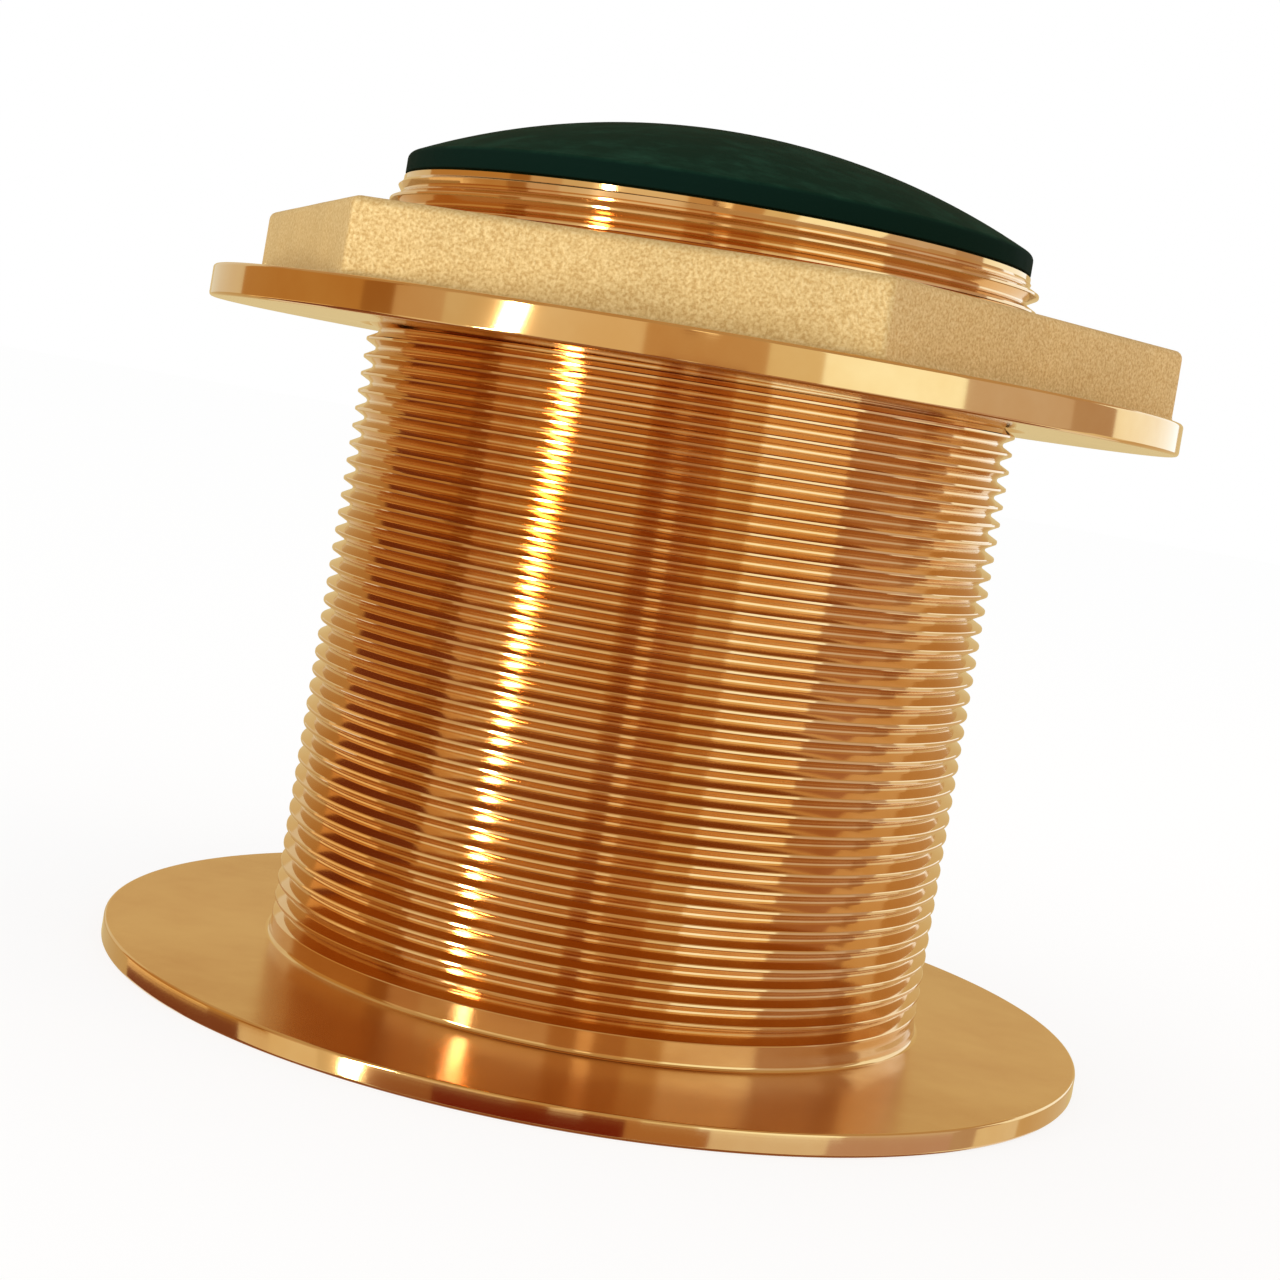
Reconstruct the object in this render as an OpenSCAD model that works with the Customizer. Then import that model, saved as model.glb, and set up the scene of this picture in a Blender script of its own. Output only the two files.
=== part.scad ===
// Bronze thru-hull sonar transducer: flanged threaded stem, hull nut and domed end cap, with the sounding
// element and its matching transformer inside. The origin is the centre of the flange's underside, and +Z
// runs up the stem.

/* [Stem thread] */
// Outside diameter over the thread crests
thread_d = 75; // [72:0.5:90]
// Distance from one crest to the next
thread_pitch = 2; // [1.5:0.25:3]
// Angle between the two flanks of the thread
thread_angle = 60; // [50:1:70]
// Width of the flat on each crest, and of the flat in each root
thread_flat = 0.1; // [0.05:0.05:0.25]
// Height of the stem above the flange
stem_h = 87; // [75:1:120]
// Wall of the stem, measured at the thread root
stem_wall = 4.9; // [4:0.1:5.6]
// Plain rim above the last turn of the thread
stem_rim_h = 0.6; // [0.4:0.1:2]
// Bevel on the top edge of the stem
stem_rim_bevel = 0.3; // [0.1:0.1:0.4]
// Plain land between the flange and the thread, at the crests' diameter
land_h = 1.4; // [1:0.1:6]
// Bevel where the land meets the flange
foot_bevel = 0.6; // [0.3:0.1:1.5]

/* [Flange] */
// Width of the flange beyond the stem
flange_w = 18.5; // [12:0.5:30]
// Thickness of the flange
flange_t = 2.4; // [2:0.1:6]
// Bevel on the upper edge of the rim
flange_top_bevel = 0.3; // [0.1:0.1:0.6]
// Bevel on the lower edge of the rim
flange_bottom_bevel = 0.4; // [0.1:0.1:0.8]

/* [Hull nut] */
// Bare stem above the nut
nut_drop = 5.8; // [2:0.1:60]
// Width of the collar beyond the hexagon's corners
collar_w = 1.4; // [0.5:0.1:8]
// Thickness of the collar
collar_t = 3.6; // [2.5:0.1:8]
// Bevel on both edges of the collar
collar_bevel = 0.4; // [0.1:0.1:0.8]
// Wall of the hexagon at the middle of a flat
hex_wall = 9.2; // [5:0.1:14]
// Height of the hexagon above the collar
hex_h = 8; // [6:0.5:20]
// Rounding of the hexagon's upright corners
hex_corner_r = 0.8; // [0.3:0.1:4]
// Bevel round the hexagon's top edge
hex_top_bevel = 0.8; // [0.3:0.1:2]
// Room between the nut's bore and the thread crests
nut_clearance = 0.3; // [0.15:0.05:0.5]
// Lead-in bevel at both ends of the nut's bore
nut_lead_in = 0.8; // [0.3:0.1:1.5]

/* [End cap] */
// Lip of the cap beyond the thread roots
cap_lip = 0.25; // [0:0.05:1]
// Height of the upright rim of the cap
cap_rim_h = 2.2; // [1.5:0.1:6]
// Rise of the dome above the rim
dome_rise = 8.5; // [6:0.5:14]
// Rounding between the rim and the dome
cap_edge_r = 0.8; // [0.3:0.1:1.2]
// Thickness of the dome
dome_t = 3.4; // [2.5:0.1:5]
// Depth of the spigot inside the stem
spigot_h = 7; // [6:0.5:12]
// Wall of the spigot
spigot_wall = 4.5; // [4:0.1:6]
// Thickness of the sealing ring's cord
seal_cord_d = 2; // [1.5:0.1:2.4]
// Room between the spigot and the stem's bore
spigot_clearance = 0.15; // [0.1:0.05:0.3]

/* [Cable inlet] */
// Bore of the bush, for the cable
cable_bore_d = 6.8; // [5:0.1:8]
// Wall of the bush
bush_wall = 1.8; // [1.2:0.1:3]
// Width of the flange that holds the bush under the dome
bush_flange_w = 2.2; // [1:0.1:4]
// Thickness of that flange
bush_flange_t = 1.5; // [1:0.1:2.5]

/* [Sounding element] */
// Thickness of the acoustic window
window_t = 2.8; // [2:0.1:4]
// Depth of the window's face inside the flange's underside
window_recess = 0.2; // [0.1:0.1:0.5]
// Ledge of the rebate that holds the window
window_ledge = 2.6; // [2:0.1:3.4]
// Thickness of the ceramic disc
piezo_t = 10.3; // [8:0.1:14]
// Thickness of the matching layer
matching_t = 2.5; // [1.5:0.1:4]
// Wall of the cork ring round the disc
cork_wall = 5; // [3:0.1:6]
// Thickness of the cork disc behind the ceramic
cork_t = 4; // [2:0.5:6]
// Wall of the element cup round the cork
cup_wall = 3.6; // [2:0.1:5]
// Thickness of the element cup's roof
cup_roof_t = 3; // [2:0.5:5]
// Thickness of the resin over the cup
potting_t = 4; // [2:0.5:6]
// Diameter of each element lead
lead_d = 1.4; // [1:0.1:1.8]
// Room round what is bonded or drops in with a glue film
bond_gap = 0.15; // [0.05:0.05:0.25]

/* [Circuit board] */
// Room between the terminal board and the stem's bore
board_gap = 5; // [3:0.1:6]
// Thickness of the terminal board
board_t = 1.6; // [1:0.2:2.4]
// Height of the posts under the board
post_h = 14; // [13:0.5:18]
// Diameter of a post
post_d = 5; // [4.6:0.1:6]
// Distance of the posts and pins from the board's edge
post_inset = 4.5; // [4:0.1:5]
// Diameter of a post screw's thread
post_screw_d = 3; // [2.5:0.1:3]
// Depth of a post screw in its post
post_screw_depth = 6; // [4:0.5:8]
// Diameter of a solder pin
pin_d = 1.8; // [1.2:0.1:2.2]
// Height of a solder pin above the board
pin_h = 5; // [3:0.5:8]

/* [Matching transformer] */
// Diameter of the ferrite pot core
core_d = 30; // [26:0.5:31]
// Height of the two halves together
core_h = 18.8; // [16:0.2:22]
// Outer diameter of the winding window
core_window_d = 25; // [22:0.5:25]
// Diameter of the core's middle leg
core_leg_d = 13.4; // [12:0.2:14]
// Thickness of each half's end plate
core_plate_t = 2.9; // [2:0.1:4]
// Width of the wire slots in the core's wall
core_slot_w = 4; // [2:0.5:6]
// Wall of the bobbin
bobbin_wall = 0.8; // [0.6:0.1:1.2]
// Gap between the winding and the rim of the bobbin
winding_inset = 0.6; // [0.3:0.1:1]
// Diameter of the clamp screw
core_screw_d = 5; // [4:0.5:5]
// Thickness of the clamp washer
core_washer_t = 0.8; // [0.6:0.1:1.5]

/* [Hidden] */
$fn = 96;
eps = 0.01;
overcut = 1;

// Thread form
thread_r = thread_d / 2;
thread_depth = (thread_pitch - 2 * thread_flat) / 2 / tan(thread_angle / 2);
root_r = thread_r - thread_depth;
bore_r = root_r - stem_wall;
stem_top = flange_t + stem_h;
flange_r = thread_r + flange_w;
land_top = flange_t + land_h;
thread_z = land_top + (thread_pitch - thread_flat) / 2;
thread_turns = floor((stem_top - stem_rim_h - thread_z) / thread_pitch + eps);

// Hull nut
nut_top = stem_top - nut_drop;
hex_z = nut_top - hex_h;
nut_z = hex_z - collar_t;
nut_bore_r = thread_r + nut_clearance;
hex_apothem = nut_bore_r + hex_wall;
hex_corner_c = (hex_apothem - hex_corner_r) / cos(30);
hex_reach = hex_corner_c + hex_corner_r;
collar_r = hex_reach + collar_w;

// End cap: the dome is a sphere through the rim's edge and the apex
cap_r = root_r + cap_lip;
cap_rim_top = stem_top + cap_rim_h;
apex_z = cap_rim_top + dome_rise;
dome_r = (cap_r * cap_r + dome_rise * dome_rise) / (2 * dome_rise);
dome_c = apex_z - dome_r;
spigot_r = bore_r - spigot_clearance;
spigot_in_r = spigot_r - spigot_wall;
seal_groove_w = seal_cord_d * 1.25;
seal_groove_r = bore_r - bond_gap / 2 - seal_cord_d - bond_gap / 2;
seal_z = stem_top - spigot_h / 2;

// Cable bush, flush with the dome at its rim
bush_r = cable_bore_d / 2 + bush_wall;
bush_flange_r = bush_r + bush_flange_w;
bush_top = dome_c + sqrt(dome_r * dome_r - bush_r * bush_r);
dome_in_r = dome_r - dome_t;
bush_seat_z = dome_c + sqrt(dome_in_r * dome_in_r - bush_flange_r * bush_flange_r);
inlet_r = bush_r + bond_gap;

// Stack of the sounding element, from the window up
window_z = window_recess;
window_top = window_z + window_t;
rebate_r = bore_r + window_ledge;
cup_r = bore_r - bond_gap;
cup_in_r = cup_r - cup_wall;
cork_out_r = cup_in_r - bond_gap;
cork_in_r = cork_out_r - cork_wall;
piezo_r = cork_in_r - bond_gap;
piezo_z = window_top + matching_t;
cork_z = piezo_z + piezo_t;
cup_roof_z = cork_z + cork_t;
cup_top = cup_roof_z + cup_roof_t;
potting_top = cup_top + potting_t;

// Circuit board
post_top = cup_top + post_h;
board_top = post_top + board_t;
board_r = bore_r - board_gap;
post_ring_r = board_r - post_inset;
post_screw_r = post_screw_d / 2;
post_screw_head_r = post_screw_d * 0.9;
post_screw_head_h = post_screw_d * 0.7;
post_screw_slot_w = post_screw_d * 0.25;
post_count = 3;
post_turn = 90;
pin_turn = post_turn - 180 / post_count;
pin_foot_t = 0.6;
pin_foot_w = 0.7;

// Element leads, just outside the core
lead_r = lead_d / 2;
lead_solder_w = 0.6;
lead_solder_h = 1;
core_r = core_d / 2;
lead_ring_r = core_r + lead_solder_w + 2 * lead_r;

// Matching transformer
core_half_h = core_h / 2;
core_window_r = core_window_d / 2;
core_leg_r = core_leg_d / 2;
core_screw_r = core_screw_d / 2;
core_hole_r = core_screw_r + bond_gap;
core_mid_z = board_top + core_half_h;
core_top = board_top + core_h;
bobbin_z = board_top + core_plate_t;
bobbin_h = core_h - 2 * core_plate_t - bond_gap;
bobbin_in_r = core_leg_r + bond_gap;
bobbin_out_r = core_window_r - bond_gap;
washer_r = core_screw_r * 2.6;
core_head_r = core_screw_r * 1.7;
core_head_h = core_screw_d * 0.66;
core_nut_af = core_screw_d * 1.6;
core_nut_h = core_screw_d * 0.8;
core_screw_tip = 1;

bronze = "#c4914f";
cast_bronze = "#d6b271";
green_resin = "#1e3a2c";
rubber_black = "#202020";
window_black = "#26282a";
ceramic_grey = "#b9b3a4";
matching_tan = "#8d7a55";
cork_brown = "#a9783f";
cup_white = "#d9d6cc";
potting_amber = "#6b4a22";
brass = "#c9a54c";
board_green = "#2f6b3c";
tin = "#c5c7c9";
ferrite_grey = "#3a3b3e";
bobbin_white = "#e8e4d8";
copper = "#b8672f";

// Tube between two heights
module ring(outer, inner, low, high) {
    translate([0, 0, low])
        difference() {
            cylinder(r = outer, h = high - low);
            translate([0, 0, -eps]) cylinder(r = inner, h = high - low + 2 * eps);
        }
}

// Copies of a child, evenly spaced round the axis
module around(count, ring_r, start = 0) {
    for (i = [0 : count - 1])
        rotate([0, 0, start + i * 360 / count])
            translate([ring_r, 0, 0]) children();
}

// Holes for the two element leads between two heights
module lead_holes(low, high) {
    around(2, lead_ring_r)
        translate([0, 0, low - eps]) cylinder(r = lead_r + bond_gap, h = high - low + 2 * eps);
}

// Hexagon with rounded corners, flats square to Y
module rounded_hex(apothem, corner_c, corner_r) {
    circle(r = corner_c, $fn = 6);
    for (i = [0 : 5]) {
        rotate(i * 60) translate([corner_c, 0]) circle(r = corner_r);
        rotate(i * 60 + 30) translate([0, -corner_c / 2]) square([apothem, corner_c]);
    }
}

// One turn of the thread in section: root, flank, crest, flank
function turn(z) = [
    [root_r, z + thread_flat / 2],
    [thread_r, z + thread_pitch / 2 - thread_flat / 2],
    [thread_r, z + thread_pitch / 2 + thread_flat / 2],
    [root_r, z + thread_pitch - thread_flat / 2]
];

// Half section of the housing: up the outside from the window's rebate, then down the bore
housing_section = concat(
    [
        [rebate_r, 0],
        [flange_r - flange_bottom_bevel, 0],
        [flange_r, flange_bottom_bevel],
        [flange_r, flange_t - flange_top_bevel],
        [flange_r - flange_top_bevel, flange_t],
        [thread_r + foot_bevel, flange_t],
        [thread_r, flange_t + foot_bevel],
        [thread_r, land_top]
    ],
    [for (i = [0 : thread_turns - 1]) each turn(thread_z + i * thread_pitch)],
    [
        [root_r, stem_top - stem_rim_bevel],
        [root_r - stem_rim_bevel, stem_top],
        [bore_r, stem_top],
        [bore_r, window_top],
        [rebate_r, window_top]
    ]
);

module housing() {
    color(bronze) rotate_extrude($fn = 180) polygon(housing_section);
}

// Half section of the collar with its two bevels
module collar_section() {
    polygon([
        [0, nut_z],
        [collar_r - collar_bevel, nut_z],
        [collar_r, nut_z + collar_bevel],
        [collar_r, hex_z - collar_bevel],
        [collar_r - collar_bevel, hex_z],
        [0, hex_z]
    ]);
}

// Hexagon above the collar, bevelled along its six top edges
module hex_block() {
    reach = 2 * hex_apothem;
    difference() {
        translate([0, 0, hex_z - eps])
            linear_extrude(hex_h + eps) rounded_hex(hex_apothem, hex_corner_c, hex_corner_r);
        around(6, hex_apothem - hex_top_bevel, 30)
            translate([0, 0, nut_top])
                rotate([0, 45, 0]) translate([-reach / 2, -reach, 0]) cube([reach, 2 * reach, reach]);
    }
}

// Half section of the nut's bore with a lead-in at each end
module nut_bore_section() {
    mouth_r = nut_bore_r + nut_lead_in + overcut;
    polygon([
        [0, nut_z - overcut],
        [mouth_r, nut_z - overcut],
        [nut_bore_r, nut_z + nut_lead_in],
        [nut_bore_r, nut_top - nut_lead_in],
        [mouth_r, nut_top + overcut],
        [0, nut_top + overcut]
    ]);
}

module hull_nut() {
    color(cast_bronze)
        difference() {
            union() {
                rotate_extrude($fn = 180) collar_section();
                hex_block();
            }
            rotate_extrude($fn = 180) nut_bore_section();
        }
}

// Half section of the cap's outside: rim, rounded edge and dome
module dome_section() {
    edge_c = cap_r - cap_edge_r;
    edge_z = dome_c + sqrt(pow(dome_r - cap_edge_r, 2) - edge_c * edge_c);
    lean = atan2(edge_c, edge_z - dome_c);
    far = 2 * dome_r;
    translate([0, stem_top]) square([cap_r, edge_z - stem_top]);
    translate([edge_c, edge_z]) circle(r = cap_edge_r);
    intersection() {
        translate([0, dome_c]) circle(r = dome_r, $fn = 180);
        polygon([[0, dome_c], [far * sin(lean), dome_c + far * cos(lean)], [0, dome_c + far]]);
        translate([0, stem_top]) square([cap_r, far]);
    }
}

// Half section of the cap's hollow, up to the underside of the dome
module cap_hollow_section() {
    intersection() {
        translate([0, dome_c]) circle(r = dome_in_r, $fn = 180);
        translate([0, stem_top - spigot_h - eps]) square([spigot_in_r, dome_r]);
    }
}

module end_cap() {
    color(green_resin)
        difference() {
            union() {
                rotate_extrude() dome_section();
                ring(spigot_r, spigot_in_r, stem_top - spigot_h, stem_top + eps);
            }
            rotate_extrude() cap_hollow_section();
            ring(spigot_r + overcut, seal_groove_r, seal_z - seal_groove_w / 2, seal_z + seal_groove_w / 2);
            translate([0, 0, stem_top]) cylinder(r = inlet_r, h = apex_z);
            translate([0, 0, stem_top]) cylinder(r = bush_flange_r + bond_gap, h = bush_seat_z - stem_top);
        }
}

module cap_seal() {
    color(rubber_black)
        translate([0, 0, seal_z])
            rotate_extrude()
                translate([bore_r - bond_gap / 2 - seal_cord_d / 2, 0]) circle(d = seal_cord_d);
}

module cable_bush() {
    color(rubber_black)
        difference() {
            union() {
                translate([0, 0, bush_seat_z - bush_flange_t])
                    cylinder(r = bush_flange_r, h = bush_flange_t);
                translate([0, 0, bush_seat_z - eps]) cylinder(r = bush_r, h = bush_top - bush_seat_z + eps);
            }
            translate([0, 0, stem_top]) cylinder(d = cable_bore_d, h = apex_z);
        }
}

module acoustic_window() {
    color(window_black)
        translate([0, 0, window_z]) cylinder(r = rebate_r - bond_gap, h = window_t);
}

module matching_layer() {
    color(matching_tan)
        translate([0, 0, window_top]) cylinder(r = piezo_r, h = matching_t);
}

module piezo_disc() {
    color(ceramic_grey)
        translate([0, 0, piezo_z]) cylinder(r = piezo_r, h = piezo_t);
}

module cork_ring() {
    color(cork_brown) ring(cork_out_r, cork_in_r, window_top, cup_roof_z);
}

module cork_disc() {
    color(cork_brown)
        difference() {
            translate([0, 0, cork_z]) cylinder(r = piezo_r, h = cork_t);
            lead_holes(cork_z, cup_roof_z);
        }
}

module element_cup() {
    color(cup_white)
        difference() {
            translate([0, 0, window_top]) cylinder(r = cup_r, h = cup_top - window_top);
            translate([0, 0, window_top - eps]) cylinder(r = cup_in_r, h = cup_roof_z - window_top + eps);
            lead_holes(cup_roof_z, cup_top);
        }
}

module potting_layer() {
    color(potting_amber)
        difference() {
            translate([0, 0, cup_top]) cylinder(r = cup_r, h = potting_t);
            lead_holes(cup_top, potting_top);
            around(post_count, post_ring_r, post_turn)
                translate([0, 0, cup_top - eps])
                    cylinder(d = post_d + 2 * bond_gap, h = potting_t + 2 * eps);
        }
}

// Straight insulated wires with a solder cone on the board
module element_leads() {
    color(copper)
        around(2, lead_ring_r) {
            translate([0, 0, cork_z]) cylinder(r = lead_r, h = board_top + lead_solder_h - cork_z);
            translate([0, 0, board_top])
                cylinder(r1 = lead_r + lead_solder_w, r2 = lead_r, h = lead_solder_h);
        }
}

module board_posts() {
    color(brass)
        around(post_count, post_ring_r, post_turn)
            difference() {
                translate([0, 0, cup_top]) cylinder(d = post_d, h = post_h);
                translate([0, 0, post_top - post_screw_depth - overcut])
                    cylinder(r = post_screw_r + bond_gap / 2, h = post_screw_depth + 2 * overcut);
            }
}

module terminal_board() {
    color(board_green)
        difference() {
            translate([0, 0, post_top]) cylinder(r = board_r, h = board_t);
            translate([0, 0, post_top - eps]) cylinder(r = core_hole_r, h = board_t + 2 * eps);
            lead_holes(post_top, board_top);
            around(post_count, post_ring_r, post_turn)
                translate([0, 0, post_top - eps])
                    cylinder(r = post_screw_r + bond_gap, h = board_t + 2 * eps);
        }
}

module board_screws() {
    color(tin)
        around(post_count, post_ring_r, post_turn)
            difference() {
                union() {
                    translate([0, 0, post_top - post_screw_depth])
                        cylinder(r = post_screw_r, h = post_screw_depth + board_t + eps);
                    translate([0, 0, board_top]) cylinder(r = post_screw_head_r, h = post_screw_head_h);
                }
                translate([-post_screw_d, -post_screw_slot_w / 2, board_top + post_screw_head_h / 2])
                    cube([2 * post_screw_d, post_screw_slot_w, post_screw_head_h]);
            }
}

// Solder posts that stand on the board between the screws
module terminal_pins() {
    color(tin)
        around(post_count, post_ring_r, pin_turn) {
            translate([0, 0, board_top]) cylinder(d = pin_d + 2 * pin_foot_w, h = pin_foot_t);
            translate([0, 0, board_top]) cylinder(d = pin_d, h = pin_h);
        }
}

// One half of the pot core, standing on its end plate at z = 0
module core_half() {
    difference() {
        cylinder(r = core_r, h = core_half_h);
        ring(core_window_r, core_leg_r, core_plate_t, core_half_h + eps);
        translate([0, 0, -eps]) cylinder(r = core_hole_r, h = core_half_h + 2 * eps);
        translate([-core_d, -core_slot_w / 2, core_plate_t])
            difference() {
                cube([2 * core_d, core_slot_w, core_half_h]);
                translate([core_d, core_slot_w / 2, -eps])
                    cylinder(r = core_window_r - overcut, h = core_h);
            }
    }
}

module core_lower() {
    color(ferrite_grey) translate([0, 0, board_top]) rotate([0, 0, 90]) core_half();
}

module core_upper() {
    color(ferrite_grey) translate([0, 0, core_top]) rotate([180, 0, 0]) rotate([0, 0, 90]) core_half();
}

module winding_bobbin() {
    color(bobbin_white) {
        ring(bobbin_in_r + bobbin_wall, bobbin_in_r, bobbin_z, bobbin_z + bobbin_h);
        ring(bobbin_out_r, bobbin_in_r, bobbin_z, bobbin_z + bobbin_wall);
        ring(bobbin_out_r, bobbin_in_r, bobbin_z + bobbin_h - bobbin_wall, bobbin_z + bobbin_h);
    }
}

module winding() {
    color(copper)
        ring(bobbin_out_r - winding_inset, bobbin_in_r + bobbin_wall + bond_gap / 2,
            bobbin_z + bobbin_wall, bobbin_z + bobbin_h - bobbin_wall);
}

module core_screw() {
    shank_z = post_top - core_nut_h - core_screw_tip;
    head_z = core_top + core_washer_t;
    color(tin)
        difference() {
            union() {
                translate([0, 0, shank_z]) cylinder(r = core_screw_r, h = head_z - shank_z + eps);
                translate([0, 0, head_z]) cylinder(r = core_head_r, h = core_head_h);
            }
            translate([-core_screw_d, -core_screw_r / 4, head_z + core_head_h / 2])
                cube([2 * core_screw_d, core_screw_r / 2, core_head_h]);
        }
}

module core_washer() {
    color(tin) ring(washer_r, core_hole_r, core_top, core_top + core_washer_t);
}

module core_nut() {
    color(tin)
        translate([0, 0, post_top - core_nut_h])
            difference() {
                cylinder(r = core_nut_af / 2 / cos(30), h = core_nut_h, $fn = 6);
                translate([0, 0, -eps]) cylinder(r = core_screw_r + bond_gap / 2, h = core_nut_h + 2 * eps);
            }
}

housing();
hull_nut();
end_cap();
cap_seal();
cable_bush();
acoustic_window();
matching_layer();
piezo_disc();
cork_ring();
cork_disc();
element_cup();
potting_layer();
element_leads();
board_posts();
terminal_board();
board_screws();
terminal_pins();
core_lower();
core_upper();
winding_bobbin();
winding();
core_screw();
core_washer();
core_nut();
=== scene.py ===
import math

import bpy
from mathutils import Matrix, Vector, noise


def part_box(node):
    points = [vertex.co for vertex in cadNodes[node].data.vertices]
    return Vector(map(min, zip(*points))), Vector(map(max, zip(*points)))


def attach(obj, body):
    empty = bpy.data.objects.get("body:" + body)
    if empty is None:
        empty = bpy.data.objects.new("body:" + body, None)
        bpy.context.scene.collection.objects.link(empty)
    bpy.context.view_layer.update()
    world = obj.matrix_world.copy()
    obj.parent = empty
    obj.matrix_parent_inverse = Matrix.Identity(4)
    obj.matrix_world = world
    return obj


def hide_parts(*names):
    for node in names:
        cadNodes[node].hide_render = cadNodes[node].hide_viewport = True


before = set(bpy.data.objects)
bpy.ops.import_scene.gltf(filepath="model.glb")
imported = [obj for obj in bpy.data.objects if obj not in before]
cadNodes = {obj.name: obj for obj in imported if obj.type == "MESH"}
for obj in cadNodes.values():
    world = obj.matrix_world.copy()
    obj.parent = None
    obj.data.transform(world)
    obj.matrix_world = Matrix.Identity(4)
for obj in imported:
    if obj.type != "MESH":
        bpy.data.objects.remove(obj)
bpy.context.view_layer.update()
mm = 0.001
print("frame loaded:", len(cadNodes), "nodes")


# Colours are written as sRGB hex and shaded as linear
def linear(hexColour):
    parts = [int(hexColour[i:i + 2], 16) / 255 for i in (1, 3, 5)]
    return tuple(p / 12.92 if p <= 0.04045 else ((p + 0.055) / 1.055) ** 2.4 for p in parts) + (1.0,)


# Adds one node: settings are properties, input values or a ramp's stops, links are inputs fed by another node's output
def addNode(tree, kind, settings=None, links=None):
    node = tree.nodes.new(kind)
    for key, value in (settings or {}).items():
        if key == "stops":
            setStops(node.color_ramp, value)
        elif isinstance(key, int) or key in node.inputs:
            node.inputs[key].default_value = value
        else:
            setattr(node, key, value)
    for key, source in (links or {}).items():
        tree.links.new(source, node.inputs[key])
    return node


# Colours along a ramp, each at its place from 0 to 1
def setStops(ramp, stops):
    while len(ramp.elements) < len(stops):
        ramp.elements.new(0.5)
    for element, (place, colour) in zip(ramp.elements, stops):
        element.position = place
        element.color = linear(colour)


def newMaterial(name):
    material = bpy.data.materials.new(name)
    material.use_nodes = True
    material.node_tree.nodes.clear()
    return material, material.node_tree


def perMm(size):
    return 1000 / size  # texture scale for a feature of this size in millimetres


# Roughness wanders from place to place, between these shares of its value
roughSpread = (0.85, 1.2)


def roughRange(roughness):
    smoother, rougher = roughSpread
    return {"To Min": roughness * smoother, "To Max": min(1.0, roughness * rougher)}


# Turned bronze: a lathe tool leaves fine lines round the axis, so lamps smear across them.
# Real lines are about 0.1 mm apart, too fine to show, so they are drawn coarser
faceCut = {"colour": "#dcb175", "warm": "#cf9b58", "roughness": 0.22, "across": 0.75, "axis": "radius",
    "lineMm": 0.45, "depthMm": 0.002}
rimCut = {"colour": "#e1ba7f", "warm": "#d8a765", "roughness": 0.075, "across": 0.3, "axis": "height",
    "lineMm": 0.3, "depthMm": 0.001}
threadCut = {"colour": "#e3bc89", "warm": "#d9a969", "roughness": 0.085, "across": 0.3, "axis": "height",
    "lineMm": 0.25, "depthMm": 0.001}
handling = {"patchMm": 14, "clean": 0.38, "warmed": 0.78}  # patches where handling has warmed the colour
quarterTurn = 0.25  # turns the smear from along the lines to across them


def turnedBronze(name, cut):
    material, tree = newMaterial(name)
    place = addNode(tree, "ShaderNodeTexCoord").outputs["Object"]
    if cut["axis"] == "radius":
        flat = addNode(tree, "ShaderNodeVectorMath", {"operation": "MULTIPLY", 1: (1, 1, 0)}, {0: place})
        radius = addNode(tree, "ShaderNodeVectorMath", {"operation": "LENGTH"}, {0: flat.outputs["Vector"]})
        along = radius.outputs["Value"]
    else:
        along = addNode(tree, "ShaderNodeSeparateXYZ", links={0: place}).outputs["Z"]
    lines = addNode(tree, "ShaderNodeTexNoise",
        {"noise_dimensions": "1D", "Scale": perMm(cut["lineMm"]), "Detail": 3.0}, {"W": along})
    patches = addNode(tree, "ShaderNodeTexNoise",
        {"Scale": perMm(handling["patchMm"]), "Detail": 4.0, "Roughness": 0.6}, {"Vector": place})
    colour = addNode(tree, "ShaderNodeValToRGB",
        {"stops": [(handling["clean"], cut["colour"]), (handling["warmed"], cut["warm"])]},
        {"Fac": patches.outputs["Fac"]})
    rough = addNode(tree, "ShaderNodeMapRange", roughRange(cut["roughness"]), {"Value": patches.outputs["Fac"]})
    bump = addNode(tree, "ShaderNodeBump",
        {"Strength": 1.0, "Distance": cut["depthMm"] * mm}, {"Height": lines.outputs["Fac"]})
    roundAxis = addNode(tree, "ShaderNodeTangent", {"direction_type": "RADIAL", "axis": "Z"})
    shader = addNode(tree, "ShaderNodeBsdfPrincipled",
        {"Metallic": 1.0, "Anisotropic": cut["across"], "Anisotropic Rotation": quarterTurn},
        {"Base Color": colour.outputs["Color"], "Roughness": rough.outputs["Result"],
            "Normal": bump.outputs["Normal"], "Tangent": roundAxis.outputs["Tangent"]})
    addNode(tree, "ShaderNodeOutputMaterial", links={"Surface": shader.outputs["BSDF"]})
    return material


# Sand-cast bronze: the mould's grains leave a pitted skin that scatters light almost evenly and glints point by point.
# Moulding sand is about 0.2 mm, too fine to show, so its grain is drawn a little coarser
castSkin = {
    "colour": "#cfb57e", "shaded": "#c2a369", "glint": "#dac491", "grainStops": (0.34, 0.5, 0.68),
    "metal": 0.55, "roughness": 0.68, "roughPits": 1.2, "roughPeaks": 0.8,
    "grainMm": 0.3, "pitMm": 0.8, "pitShare": 0.5, "cloudMm": 9, "cloudLevels": (1.06, 0.9), "depthMm": 0.06,
}


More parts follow.
